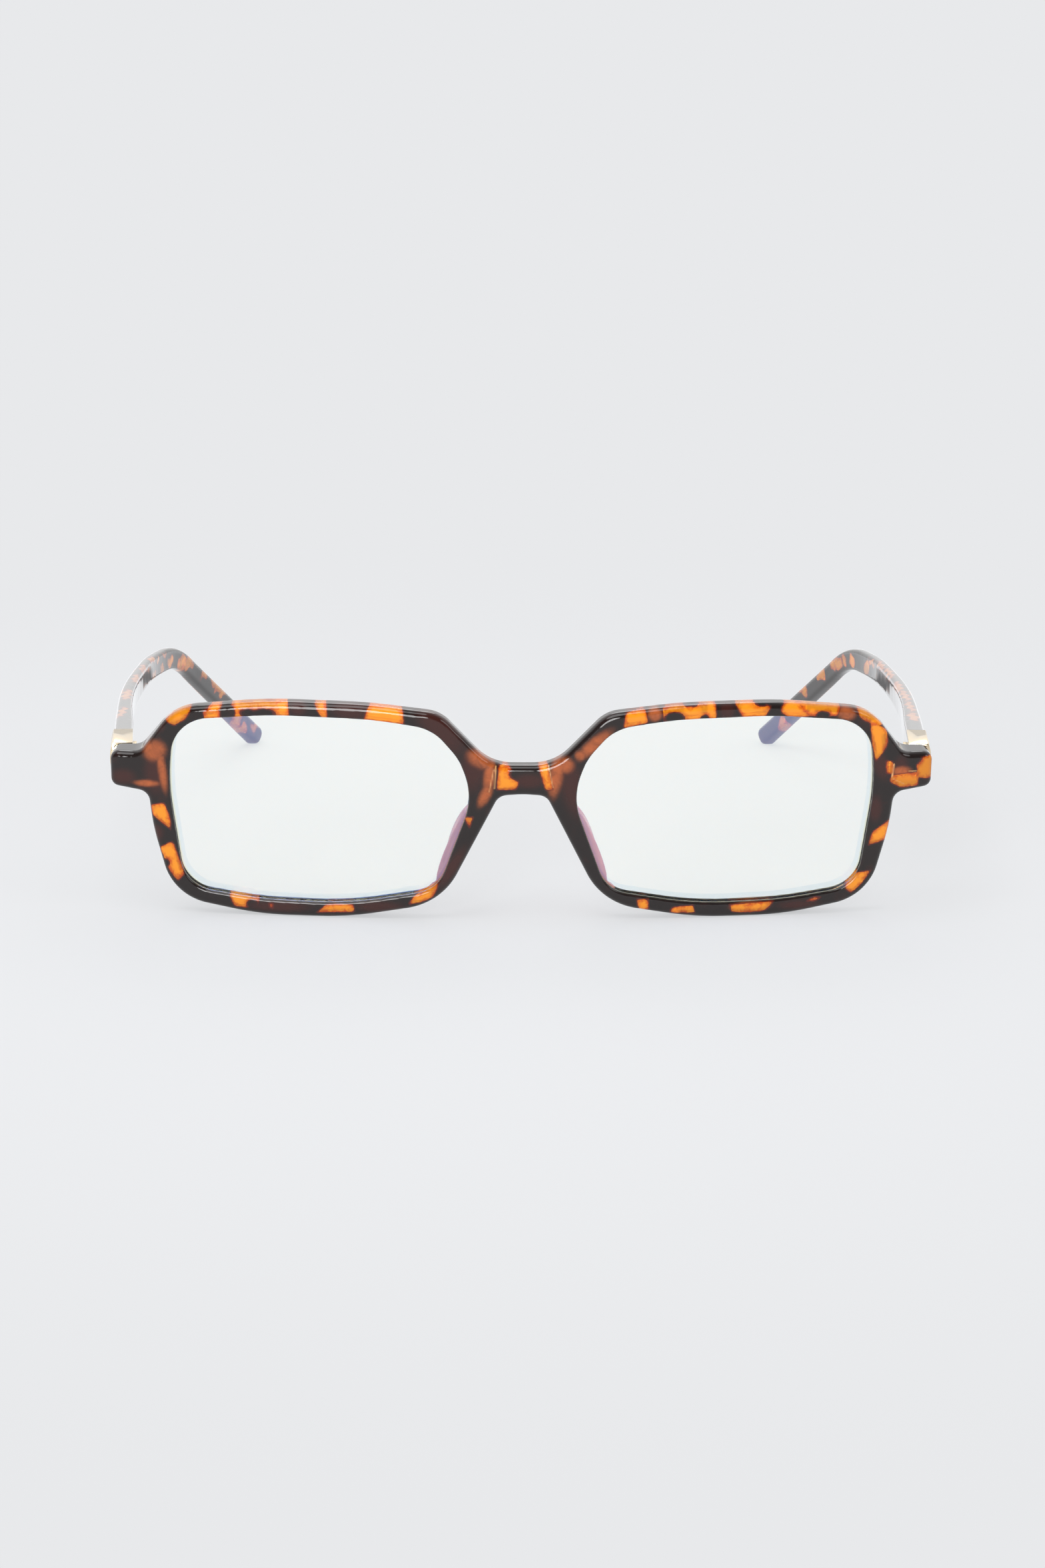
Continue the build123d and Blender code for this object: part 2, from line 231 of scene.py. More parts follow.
shellLook = {
    "amberBright": (0.98, 0.335, 0.014),
    "amberDeep": (0.62, 0.085, 0.006),
    "redEdge": (0.115, 0.014, 0.006),
    "tan": (0.47, 0.115, 0.032),
    "mahogany": (0.032, 0.0085, 0.0065),
    "nearBlack": (0.010, 0.0065, 0.006),
    # the gleam colour is a painted highlight
    "gleam": (0.95, 0.50, 0.20),
    "padRose": (0.74, 0.34, 0.33),
    "waverNoise": {"Scale": 1300.0, "Detail": 2.0, "Roughness": 0.5},
    "cloudNoise": {"Scale": 300.0, "Detail": 3.0, "Roughness": 0.6},
    "streakNoise": {"Scale": 700.0, "Detail": 5.0, "Roughness": 0.62, "Distortion": 0.8},
    "depthRange": 4.0,  # depth, in mm, that a painted value spans, with a patch's edge at 0.5
    "waver": 0.16,  # how far noise moves that edge, in mm
    "redReach": (0.425, 0.497),  # painted values over which the red rim sets in
    "amberReach": (0.492, 0.512),
    "brightReach": (0.48, 0.64),
    # gleamReach and gleamShare set how the painted highlight lines fade in and how strong they are
    "gleamReach": (0.48, 0.53),
    "redShare": 0.8,
    "gleamShare": 0.55,
    "grain": 0.55,  # how much the streaks break up the bright amber
    "tanStreak": 1.5,
    "fleckReach": (0.56, 0.72),  # noise values over which mahogany flecks set in
    "fleckShare": 0.55,
    "amberClear": 0.55,  # share of the light that passes
    "tanClear": 0.35,
    "smearReach": (0.3, 0.75),
    "smear": (0.05, 0.11),  # roughness where the polish is best and worst
    "index": 1.5,
    "frontCoat": 0.0,
    "templeCoat": 1.0,
    "coatIndex": 1.8,
    "coatRoughness": 0.06,
    "ripple": 0.04,
    "rippleHeight": 0.02 * mm,
}


def tortoiseMaterial(name, coat):
    material, tree, shader = newPrincipled(name)
    amber, tan, brown, gleam, pad = (
        addNode(tree, "ShaderNodeAttribute", attribute_name=layer).outputs["Fac"]
        for layer in ("amber", "tan", "brown", "gleam", "pad")
    )
    waver, cloud, streak = (
        noise(tree, shellLook[pattern]) for pattern in ("waverNoise", "cloudNoise", "streakNoise")
    )
    # near-black shell with mahogany flecks and half-clear tan stretches
    fleck = calc(tree, "MULTIPLY", fade(tree, shellLook["fleckReach"], cloud), shellLook["fleckShare"])
    brownShare = calc(tree, "MAXIMUM", fleck, brown)
    colour = mixColour(tree, brownShare, shellLook["nearBlack"], shellLook["mahogany"])
    tanShare = calc(tree, "MULTIPLY", tan, calc(tree, "MULTIPLY", streak, shellLook["tanStreak"]))
    colour = mixColour(tree, tanShare, colour, shellLook["tan"])
    # amber patches with a red rim and a brighter middle
    # noise swings half its size to either side, so twice the waver goes in
    edgeShift = shellLook["waver"] * 2.0 / shellLook["depthRange"]
    depth = calc(tree, "ADD", amber, swing(tree, waver, edgeShift))
    rim = calc(tree, "MULTIPLY", fade(tree, shellLook["redReach"], depth), shellLook["redShare"])
    colour = mixColour(tree, rim, colour, shellLook["redEdge"])
    patch = fade(tree, shellLook["amberReach"], depth)
    streaked = calc(tree, "ADD", depth, swing(tree, streak, shellLook["grain"]))
    middle = fade(tree, shellLook["brightReach"], streaked)
    amberColour = mixColour(tree, middle, shellLook["amberDeep"], shellLook["amberBright"])
    colour = mixColour(tree, patch, colour, amberColour)
    # painted highlight lines and the rose pads lie over all of it
    light = calc(tree, "MULTIPLY", fade(tree, shellLook["gleamReach"], gleam), shellLook["gleamShare"])
    colour = mixColour(tree, light, colour, shellLook["gleam"])
    colour = mixColour(tree, pad, colour, shellLook["padRose"])
    tree.links.new(colour, shader.inputs["Base Color"])
    clearAmber = calc(tree, "MULTIPLY", patch, shellLook["amberClear"])
    clearTan = calc(tree, "MULTIPLY", tanShare, shellLook["tanClear"])
    clear = calc(tree, "MAXIMUM", clearAmber, clearTan)
    tree.links.new(clear, shader.inputs["Transmission Weight"])
    smear = fade(tree, shellLook["smearReach"], cloud, *shellLook["smear"])
    tree.links.new(smear, shader.inputs["Roughness"])
    ripple = addNode(tree, "ShaderNodeBump", Strength=shellLook["ripple"])
    ripple.inputs["Distance"].default_value = shellLook["rippleHeight"]
    tree.links.new(streak, ripple.inputs["Height"])
    tree.links.new(ripple.outputs["Normal"], shader.inputs["Normal"])
    shader.inputs["IOR"].default_value = shellLook["index"]
    shader.inputs["Coat Weight"].default_value = coat
    shader.inputs["Coat IOR"].default_value = shellLook["coatIndex"]
    shader.inputs["Coat Roughness"].default_value = shellLook["coatRoughness"]
    return material


# Painting the shell: the patterns are values at the vertices, worked out from patches in mm

patchLook = {
    "roundness": 5.0,  # per mm, sharper corners for more
    "soften": 0.7,  # how soon a soft blot falls off past its half sizes
    "squareness": 3,  # a ball's power, 2 for a round one
}


def turned(points, x, z, tilt):
    # places measured from (x, z) along axes turned by tilt
    turn = math.radians(tilt)
    dx, dz = points[:, 0] - x, points[:, 1] - z
    return dx * math.cos(turn) + dz * math.sin(turn), dz * math.cos(turn) - dx * math.sin(turn)


def insideCorners(points, corners):
    # how deep each point lies inside a convex patch, in mm, with its corners a little rounded
    middle = np.mean(corners, axis=0)
    total = np.zeros(len(points))
    sharp = patchLook["roundness"]
    steepest = 60  # keeps exp in range far from the patch
    for first, second in zip(corners, corners[1:] + corners[:1]):
        alongX, alongZ = second[0] - first[0], second[1] - first[1]
        length = math.hypot(alongX, alongZ)
        side = (middle[0] - first[0]) * alongZ - (middle[1] - first[1]) * alongX
        sign = math.copysign(1.0, side) / length
        depth = ((points[:, 0] - first[0]) * alongZ - (points[:, 1] - first[1]) * alongX) * sign
        total += np.exp(np.clip(-sharp * depth, -steepest, steepest))
    return -np.log(total) / sharp


def boxCorners(x, z, halfWidth, halfHeight, tilt):
    turn = math.radians(tilt)
    wide = (math.cos(turn) * halfWidth, math.sin(turn) * halfWidth)
    high = (-math.sin(turn) * halfHeight, math.cos(turn) * halfHeight)
    signs = ((-1, -1), (1, -1), (1, 1), (-1, 1))
    return tuple((x + a * wide[0] + b * high[0], z + a * wide[1] + b * high[1]) for a, b in signs)


def insideBlot(points, blot):
    x, z, halfWidth, halfHeight, tilt = blot
    along, across = turned(points, x, z, tilt)
    reach = np.hypot(along / halfWidth, across / halfHeight)
    return (1.0 - reach) * min(halfWidth, halfHeight)


def insideBall(places, ball):
    # a ball squared off a little, its half sizes given
    power = patchLook["squareness"]
    centre, radii = np.array(ball[:3]), np.array(ball[3:])
    reach = (np.abs((places - centre) / radii) ** power).sum(axis=1) ** (1 / power)
    return (1.0 - reach) * radii.min()


def insideLine(points, line):
    # how deep each point lies inside a thin line from one place to another
    first, second, halfWidth = np.array(line[0]), np.array(line[1]), line[2]
    along = second - first
    share = np.clip((points - first) @ along / (along @ along), 0, 1)
    return halfWidth - np.linalg.norm(points - first - share[:, None] * along, axis=1)


def deepest(inside, points, patches):
    return np.max([inside(points, patch) for patch in patches], axis=0)


def softBlots(points, blots):
    # 1 in the middle of a blot, fading to 0 round it
    total = np.zeros(len(points))
    for x, z, halfWidth, halfHeight, tilt in blots:
        along, across = turned(points, x, z, tilt)
        reach = (along / halfWidth) ** 2 + (across / halfHeight) ** 2
        total = np.maximum(total, np.exp(-reach ** 2 * patchLook["soften"]))
    return total


def meshVectors(source, kind):
    # a vector for each vertex, such as its place or normal, as rows
    values = np.empty(len(source) * 3)
    source.foreach_get(kind, values)
    return values.reshape(-1, 3)


def wobbled(places, size, pace):
    # places pushed about by slow waves, each crossing two axes at its own pace, so that no edge is ruled
    x, y, z = places.T * pace
    push = (np.sin(2.1 * y + 1.3 * z), np.sin(1.7 * z + 2.3 * x), np.sin(2.6 * y + 0.9 * x))
    return places + size * np.stack(push, axis=1)


def paintShell(piece, amber, tan, brown, gleam, pad):
    # amber and gleam are depths in mm, the others shares; gleam holds the painted highlight lines
    layers = {
        "pad": pad,
        "amber": np.clip(amber / shellLook["depthRange"] + 0.5, 0, 1),
        "tan": tan,
        "brown": brown,
        "gleam": np.clip(gleam / shellLook["depthRange"] + 0.5, 0, 1),
    }
    for name, values in layers.items():
        layer = piece.data.attributes.new(name, "FLOAT", "POINT")
        layer.data.foreach_set("value", values.astype(np.float32))


# Front

# Amber patches of the front: corner places (x, z) in mm, seen from in front
frontAmber = (
    ((-60.9, 35.3), (-58.2, 37.8), (-56.0, 37.8), (-57.0, 35.6), (-59.2, 34.3)),
    ((-53.8, 37.2), (-52.0, 38.6), (-50.7, 38.6), (-51.3, 37.2)),
    ((-54.0, 37.1), (-51.2, 37.3), (-51.2, 35.5), (-53.9, 35.5)),
    ((-49.2, 38.9), (-39.7, 39.3), (-39.4, 36.0), (-49.0, 36.0)),
    ((-35.8, 39.4), (-33.2, 39.4), (-33.0, 36.0), (-34.5, 36.0), (-34.9, 38.0)),
    ((-25.9, 38.9), (-20.4, 38.4), (-20.1, 35.6), (-26.9, 36.2)),
    ((-4.1, 28.4), (-2.5, 28.4), (-0.7, 25.5), (-1.1, 24.1), (-4.4, 24.0)),
    ((-63.6, 19.6), (-61.3, 20.1), (-60.3, 17.6), (-60.3, 15.4), (-63.4, 17.9)),
    ((-62.3, 11.9), (-60.0, 13.1), (-58.9, 10.1), (-58.1, 7.2), (-59.4, 5.9), (-60.6, 7.5)),
    ((-50.5, 4.2), (-45.2, 3.6), (-45.3, 2.4), (-47.2, 1.4), (-49.6, 1.6)),
    ((-33.5, 2.5), (-29.0, 2.6), (-28.9, 1.2), (-35.2, 1.0)),
    ((-14.3, 6.9), (-15.2, 4.2), (-17.8, 3.0), (-19.4, 2.9), (-18.7, 4.2)),
    ((-9.9, 18.9), (-8.4, 19.0), (-9.1, 17.2)),
    ((2.5, 28.6), (4.1, 28.8), (5.1, 24.0), (3.9, 24.0)),
    ((17.3, 37.7), (20.5, 38.2), (21.0, 36.0), (16.9, 35.0)),
    ((23.4, 38.4), (26.9, 39.2), (32.4, 39.3), (32.5, 36.0), (23.8, 36.0)),
    ((35.6, 39.4), (38.2, 39.4), (41.8, 38.4), (40.8, 36.4), (37.2, 36.4)),
    ((43.5, 37.6), (44.2, 39.2), (46.4, 39.2), (48.4, 36.4), (44.8, 36.4)),
    ((46.4, 39.2), (53.9, 38.4), (53.4, 36.4), (48.4, 36.6)),
    ((56.6, 38.0), (59.8, 37.0), (61.8, 34.3), (59.6, 34.5), (57.2, 36.0)),
    ((59.1, 35.1), (62.0, 33.6), (62.4, 31.1), (61.4, 29.1), (60.4, 28.0), (59.5, 31.2)),
    ((67.6, 28.0), (70.6, 28.6), (71.0, 24.4), (67.9, 24.6)),
    ((62.2, 27.9), (63.4, 27.7), (63.6, 25.4), (62.4, 25.6)),
    ((63.3, 25.2), (67.9, 25.6), (68.0, 23.2), (65.0, 22.9), (63.0, 24.2)),
    ((63.7, 17.3), (62.8, 13.4), (59.9, 12.6), (60.4, 14.9)),
    ((60.4, 7.7), (58.9, 5.2), (57.1, 3.7), (56.0, 4.9), (57.6, 7.4)),
    ((49.6, 2.6), (50.6, 3.3), (51.8, 3.1), (50.8, 2.5)),
    ((35.9, 2.3), (43.5, 2.7), (42.3, 1.2), (40.2, 0.8), (36.4, 1.0)),
    ((25.9, 2.1), (29.5, 2.4), (29.8, 1.1), (25.6, 1.1)),
    ((19.8, 3.7), (21.7, 3.7), (21.8, 1.6), (20.2, 1.8)),
    ((-43.6, 2.3), (-43.0, 2.4), (-42.8, 1.5), (-43.4, 1.5)),
)

# Dark blots that bite into the amber: x, z, half width, half height in mm, tilt in degrees
frontDark = (
    (-49.9, 36.9, 1.35, 1.7, 0),
    (-46.4, 36.9, 1.5, 0.9, 0),
    (-43.8, 37.0, 2.2, 0.9, 0),
    (-61.3, 9.0, 0.7, 0.9, 0),
    (-46.4, 2.0, 1.1, 1.0, 0),
    (0.0, 26.9, 2.4, 1.5, 0),
    (25.5, 36.7, 1.8, 1.1, 0),
    (30.6, 36.5, 0.8, 0.8, 0),
    (28.2, 39.0, 1.5, 0.5, 0),
    (40.3, 39.1, 1.4, 0.7, 0),
    (50.8, 36.5, 1.3, 0.9, 0),
    (66.0, 28.2, 2.6, 1.7, 0),
    (69.6, 23.9, 1.0, 0.5, 0),
)

# Half-clear tan stretches with soft edges, then mahogany ones: x, z, half width, half height, tilt
frontTan = (
    (-7.3, 29.4, 2.0, 1.2, -30),
    (-5.7, 26.6, 0.8, 2.8, -6),
    (-6.4, 23.0, 0.8, 1.9, -25),
    (-62.6, 29.6, 1.7, 1.5, 30),
    (-61.4, 26.2, 0.6, 3.4, 6),
    (-64.2, 23.6, 1.8, 0.5, 0),
    (5.6, 26.4, 1.0, 3.2, -8),
    (12.1, 32.1, 3.1, 1.0, 42),
    (9.7, 30.2, 0.8, 0.8, 0),
    (7.2, 28.4, 1.2, 1.2, 0),
    (22.1, 37.4, 1.0, 1.0, 0),
    (54.8, 36.8, 1.4, 1.0, -20),
    (58.0, 37.4, 1.4, 0.8, -30),
    (61.6, 36.2, 1.2, 0.8, -50),
    (39.4, 1.9, 2.6, 0.7, 0),
    (65.0, 25.9, 1.4, 0.7, 0),
)
frontBrown = (
    (-14.0, 34.7, 5.0, 2.2, -48),
    (-29.0, 38.0, 3.0, 1.8, 0),
    (-62.9, 14.6, 1.2, 1.4, 0),
    (-68.2, 24.6, 2.0, 1.3, 0),
    (-62.6, 25.4, 1.8, 3.4, 0),
    (1.0, 25.6, 2.6, 1.2, 0),
    (8.6, 24.2, 2.0, 5.0, 14),
    (-8.4, 27.8, 2.2, 4.0, -12),
    (-12.0, 9.6, 1.0, 4.0, -30),
    (13.2, 13.6, 0.9, 5.0, 24),
    (-42.0, 1.8, 5.0, 0.9, 0),
    (-24.5, 2.2, 3.8, 1.0, 0),
    (34.4, 38.0, 1.2, 1.8, 0),
    (48.0, 1.9, 3.4, 0.8, 0),
    (55.2, 37.2, 1.6, 1.4, -20),
    (-38.0, 38.2, 1.4, 1.4, 0),
    (60.8, 19.2, 1.0, 2.2, 0),
    (64.8, 26.6, 1.2, 1.8, 0),
    (61.4, 27.0, 1.2, 2.4, 20),
)

# Painted highlights: thin pale lines where a corner inside the clear shell would catch the light: from, to,
# half width
frontPaintedHighlights = (
    ((-4.6, 28.2), (-4.8, 24.2), 0.12),
    ((4.3, 28.3), (5.1, 24.4), 0.12),
    ((-5.0, 27.6), (-5.7, 23.6), 0.10),
    ((63.6, 27.2), (63.4, 24.9), 0.16),
    ((66.3, 25.8), (67.6, 25.8), 0.12),
    ((63.5, 24.6), (65.6, 23.5), 0.12),
)

padLook = {
    "frontFace": -63.9,  # y of the front face at the foot, in mm
    "slope": 0.14,  # how far the face leans back, per mm of height
    "halfSpan": 16.0,  # the pads lie within this of the middle, in mm
    "start": 3.6,  # how far behind the face they begin
    "fade": 1.8,
    "drawIn": 0.12,  # share of their distance from the middle that they are moved in
    "topHeight": 19.5,
    "shorten": 0.16,  # share of the height below the top that they lose
    "paintStart": 2.4,
    "paintFade": 0.6,
    "paintTop": 21.0,
    "leftShare": 0.6,  # how much of the rose the left pad shows
}


def shapePads(front, places):
    # the nose pads stand a little closer to the nose than the moulded blank, and end higher
    behind = places[:, 1] - padLook["frontFace"] + padLook["slope"] * places[:, 2]
    share = np.clip((behind - padLook["start"]) / padLook["fade"], 0, 1)
    share *= np.abs(places[:, 0]) < padLook["halfSpan"]
    places[:, 0] *= 1 - padLook["drawIn"] * share
    places[:, 2] += (padLook["topHeight"] - places[:, 2]) * padLook["shorten"] * share
    front.data.vertices.foreach_set("co", (places * mm).ravel())
    front.data.update()
    # how much of their clear rose each place shows
    tone = np.clip((behind - padLook["paintStart"]) / padLook["paintFade"], 0, 1)
    tone *= (np.abs(places[:, 0]) < padLook["halfSpan"]) & (places[:, 2] < padLook["paintTop"])
    return tone * np.where(places[:, 0] < 0, padLook["leftShare"], 1.0)


def buildFront(material):
    front = polished("front_frame", "frontFrame")
    places = meshVectors(front.data.vertices, "co") / mm
    flat = places[:, (0, 2)]
    amber = np.minimum(deepest(insideCorners, flat, frontAmber), -deepest(insideBlot, flat, frontDark))
    # the gleam layer holds painted highlight lines
    gleam = deepest(insideLine, flat, frontPaintedHighlights)
    tan = softBlots(flat, frontTan)
    brown = softBlots(flat, frontBrown)
    paintShell(front, amber, tan, brown, gleam, shapePads(front, places))
    finishPiece(front, "front_frame", "front", material)
    print("front made", len(front.data.polygons))


# Temples

# Amber patches seen on the tops and inner faces: place (x, y, z) and half sizes, in mm
innerAmber = {
    "left": (
        (-71.5, -27.5, 28.4, 0.6, 4.0, 2.0),
        (-72.2, -11.7, 28.0, 0.8, 4.5, 2.0),
        (-72.1, 4.2, 27.5, 0.6, 3.5, 1.6),
        (-71.7, 15.0, 27.2, 0.5, 3.0, 1.2),
        (-70.9, 24.9, 26.9, 0.6, 2.0, 0.8),
        (-71.1, 18.7, 25.7, 1.2, 0.9, 0.5),
        (-69.9, 28.5, 25.8, 1.2, 0.9, 0.5),
        (-69.1, 32.3, 26.0, 1.2, 0.8, 0.4),
        (-70.5, 24.9, 23.3, 1.6, 1.4, 1.0),
        (-69.5, 30.6, 23.6, 1.6, 1.1, 1.1),
        (-68.2, 35.4, 24.0, 1.6, 1.3, 1.0),
        (-66.5, 40.6, 22.9, 2.6, 1.9, 1.3),
        (-65.2, 43.2, 22.2, 2.6, 1.9, 1.3),
        (-66.4, 40.6, 21.0, 1.2, 1.2, 0.6),
        (-62.5, 48.4, 18.5, 1.4, 1.3, 0.7),
        (-61.0, 51.6, 16.5, 1.8, 1.1, 1.1),
        (-60.1, 52.8, 15.1, 1.8, 1.2, 1.2),
        (-59.3, 54.2, 13.8, 1.8, 1.1, 1.1),
        (-57.0, 59.5, 7.0, 1.3, 2.0, 2.2),
        (-56.2, 61.5, 4.4, 1.4, 1.4, 1.4),
        (-53.2, 65.0, 3.9, 1.2, 1.2, 0.9),
    ),
    "right": (
        (70.9, -31.2, 28.5, 0.8, 3.5, 2.0),
        (71.6, -21.9, 28.2, 0.6, 4.5, 2.0),
        (72.0, -11.5, 28.0, 0.6, 5.0, 1.8),
        (71.9, -2.0, 27.6, 0.7, 4.0, 1.2),
        (72.0, 11.4, 27.3, 0.5, 4.5, 1.2),
        (71.4, 19.7, 27.0, 0.5, 3.5, 0.8),
        (70.4, 25.9, 26.0, 1.2, 2.2, 0.5),
        (69.8, 29.1, 24.3, 1.6, 1.5, 1.4),
        (67.7, 36.8, 24.2, 1.6, 1.2, 1.2),
        (66.7, 39.8, 23.6, 1.4, 0.9, 1.0),
        (65.5, 42.4, 22.5, 2.2, 1.6, 1.3),
        (64.7, 44.0, 21.5, 2.0, 1.1, 1.0),
        (62.9, 47.7, 18.9, 1.4, 1.4, 1.2),
        (60.1, 53.4, 14.6, 1.2, 1.5, 1.3),
        (57.0, 60.5, 6.0, 1.2, 1.8, 2.0),
    ),
}
# Patches of the outer faces, shared by both temples: distance back from the front end, height,
# half length, half height, tilt
outerAmber = (
    (9.0, 27.0, 3.0, 1.8, 30),
    (17.0, 24.6, 2.6, 1.3, -20),
    (26.5, 26.6, 4.2, 1.3, -12),
    (36.0, 24.8, 2.4, 1.6, 40),
    (45.0, 26.6, 3.6, 1.5, 15),
    (57.0, 25.0, 4.4, 1.3, -18),
    (67.0, 26.8, 2.2, 1.6, 35),
    (75.5, 25.0, 3.0, 1.7, -10),
    (86.0, 26.3, 2.8, 1.8, 20),
    (94.0, 22.5, 2.4, 1.9, -40),
    (104.0, 15.5, 3.2, 1.5, -44),
    (112.5, 7.0, 2.8, 1.6, -40),
)
outerTan = (
    (21.0, 26.4, 2.4, 1.2, 10),
    (51.0, 25.6, 3.0, 1.3, 0),
    (80.5, 26.0, 2.6, 1.4, 0),
    (99.0, 20.0, 2.0, 2.0, -40),
)
templeLook = {
    "wobble": 0.30,  # how far slow waves push the patches about, in mm
    "pace": 0.9,
    "facing": 0.35,  # how far a surface faces sideways before the outer patches show on it
    "turnIn": 2.0,  # mm of patch for each unit of facing past that
}


def buildTemple(side, sign, material):
    temple = polished(f"temple_{side}", f"temple{side.title()}")
    places = meshVectors(temple.data.vertices, "co") / mm
    facing = meshVectors(temple.data.vertex_normals, "vector")[:, 0] * sign
    loose = wobbled(places, templeLook["wobble"], templeLook["pace"])
    flat = loose[:, 1:] - (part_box(f"temple_{side}")[0].y / mm, 0)
    outer = deepest(insideCorners, flat, [boxCorners(*patch) for patch in outerAmber])
    outer = np.minimum(outer, (facing - templeLook["facing"]) * templeLook["turnIn"])
    inner = deepest(insideBall, loose, innerAmber[side])
    tan = softBlots(flat, outerTan) * (facing > templeLook["facing"])
    # the temples have no mahogany stretches, painted highlight lines or pads
    none = np.zeros(len(places))
    paintShell(temple, np.maximum(outer, inner), tan, none, none - 1.0, none)
    finishPiece(temple, f"temple_{side}", f"{side}_temple", material)
    print(side, "temple made", len(temple.data.polygons))


# Collars, hinges and screws

metalLook = {
    "goldCollar": ((0.89, 0.74, 0.52), 0.16),  # colour, roughness
    "hingeGold": ((0.80, 0.64, 0.40), 0.24),
    "screwSteel": ((0.70, 0.67, 0.62), 0.28),
}
brushLook = {
    "noise": {"Scale": 2400.0, "Detail": 3.0, "Roughness": 0.6},
    "darkest": 0.86,  # share of the colour
    "reach": (0.3, 0.7),
    "roughest": 1.3,  # times the roughness
    "smoothest": 0.7,
}


def metalMaterial(name):
    material, tree, shader = newPrincipled(name)
    colour, roughness = metalLook[name]
    grain = noise(tree, brushLook["noise"])
    darker = tuple(channel * brushLook["darkest"] for channel in colour)
    tree.links.new(mixColour(tree, grain, darker, colour), shader.inputs["Base Color"])
    smooth, rough = roughness * brushLook["smoothest"], roughness * brushLook["roughest"]
    tree.links.new(fade(tree, brushLook["reach"], grain, smooth, rough), shader.inputs["Roughness"])
    shader.inputs["Metallic"].default_value = 1.0
    return material


def buildMetal(side, materials):
    temple = f"{side}_temple"
    for node, name, body, slot, finish in (
        ("temple_collar", "collar", temple, "gold_metal", "goldCollar"),
        ("hinge_temple_leaf", "templeLeaf", temple, "hinge_metal", "hingeGold"),
        ("hinge_front_leaf", "frontLeaf", "front", "hinge_metal", "hingeGold"),
        ("hinge_screw", "screw", "front", "screw_steel", "screwSteel"),
    ):
        piece = metalPiece(f"{node}_{side}", name + side.title())
        finishPiece(piece, f"{node}_{side}", body, materials[finish])
    print(side, "hinge made")


# Lenses

lensLook = {
    "tint": (0.985, 0.995, 0.99),
    "index": 1.5,
    "coating": 152.0,  # thickness of the blue reflecting coating, in nm
    "coatingIndex": 2.15,
    "coatingTint": (0.42, 0.50, 1.0),
    "curve": 350.0 * mm,  # radius of both faces
    "lean": 8.0,  # degrees that the lenses lean with the front
    "onFace": 0.99,  # how nearly a triangle faces as the curve does, if it isn't on the rim
}


def lensMaterial():
    material, tree, shader = newPrincipled("lens")
    shader.inputs["Base Color"].default_value = (*lensLook["tint"], 1.0)
    shader.inputs["Roughness"].default_value = 0.0
    shader.inputs["IOR"].default_value = lensLook["index"]
    shader.inputs["Transmission Weight"].default_value = 1.0
    shader.inputs["Specular Tint"].default_value = (*lensLook["coatingTint"], 1.0)
    shader.inputs["Thin Film Thickness"].default_value = lensLook["coating"]
    shader.inputs["Thin Film IOR"].default_value = lensLook["coatingIndex"]
    return material


def curveNormal(place):
    # the curve's axis is upright before the lens leans
    lean = math.radians(lensLook["lean"])
    across = place.x / lensLook["curve"]
    rise = math.sqrt(1 - across * across)
    return Vector((across, -rise * math.cos(lean), -rise * math.sin(lean)))


def buildLens(side, material):
    # the CAD mesh is in flat strips, so the faces' true curve goes in as normals
    lens = cadCopy(f"lens_{side}", f"lens{side.title()}")
    mesh = lens.data
    mesh.shade_smooth()
    normals = [None] * len(mesh.loops)
    for face in mesh.polygons:
        for loop in face.loop_indices:
            curved = curveNormal(mesh.vertices[mesh.loops[loop].vertex_index].co)
            facing = curved.dot(face.normal)
            onFace = abs(facing) > lensLook["onFace"]
            normals[loop] = curved * math.copysign(1, facing) if onFace else face.normal.copy()
    mesh.normals_split_custom_set(normals)
    finishPiece(lens, f"lens_{side}", "front", material)
    print(side, "lens made")


# Studio

cameraLook = {
    "place": (-10.9 * mm, -613.97 * mm, 163.6 * mm),
    "turn": 1.135,  # degrees towards the right
    "tilt": 14.22,  # degrees down
    "roll": 0.33,
    "lens": 76.5,
    "sensor": 36.0,
    "clip": (0.01, 50.0),
}
studioLook = {
    "backdrop": (0.807, 0.815, 0.831),
    "throughLens": (0.935, 0.962, 0.958),  # the backdrop as clear lenses show it
    "tablePaint": (0.555, 0.565, 0.58),
    "tableSize": 12.0,
    "tableShow": 0.62,  # how much of the backdrop's own colour the table shows under the glasses
    "shadowReach": (0.10, 0.30),  # metres from the middle, past which the table shows that colour alone
    "tableGlow": 0.45,  # how much brighter polished surfaces mirror the table behind the glasses
    "glowReach": (0.05, 0.16),
    "skyStrength": 0.92,  # of the even light from all round
    "sideReach": (0.40, 0.62),  # from in front to behind, over which the mirrored studio changes
    "glossTop": 2.2,  # above every brightness below, so that the ramps' greys stay under 1
    "gloss": (
        # height of a mirrored ray, brightness of the studio there, in front and behind
        (0.00, 0.80, 0.80),
        (0.25, 0.80, 0.80),
        (0.47, 0.80, 0.90),
        (0.56, 0.28, 1.00),
        (0.66, 0.10, 1.15),
        (0.84, 0.09, 1.30),
        (1.00, 0.30, 0.50),
    ),
    "softBoxes": (
        # place, size, power, aim
        ((-0.25, -0.30, 0.95), 0.75, 4.2, (0, 0, 0.01)),
        ((0.75, -0.45, 0.55), 0.45, 1.1, (0, 0, 0.02)),
        ((0.0, 0.85, 0.75), 0.60, 2.0, (0, 0, 0.02)),
        ((-0.30, -1.20, 0.35), 0.70, 12.0, (0, 0, 0.02)),
    ),
}


def backdropShade(tree):
    # the camera sees the backdrop's colour, and rays through a lens a slightly paler one
    rays = tree.nodes.new("ShaderNodeLightPath").outputs
    colour = mixColour(tree, rays["Is Transmission Ray"], studioLook["backdrop"], studioLook["throughLens"])
    seen = calc(tree, "MAXIMUM", rays["Is Camera Ray"], rays["Is Transmission Ray"])
    return rays, colour, seen


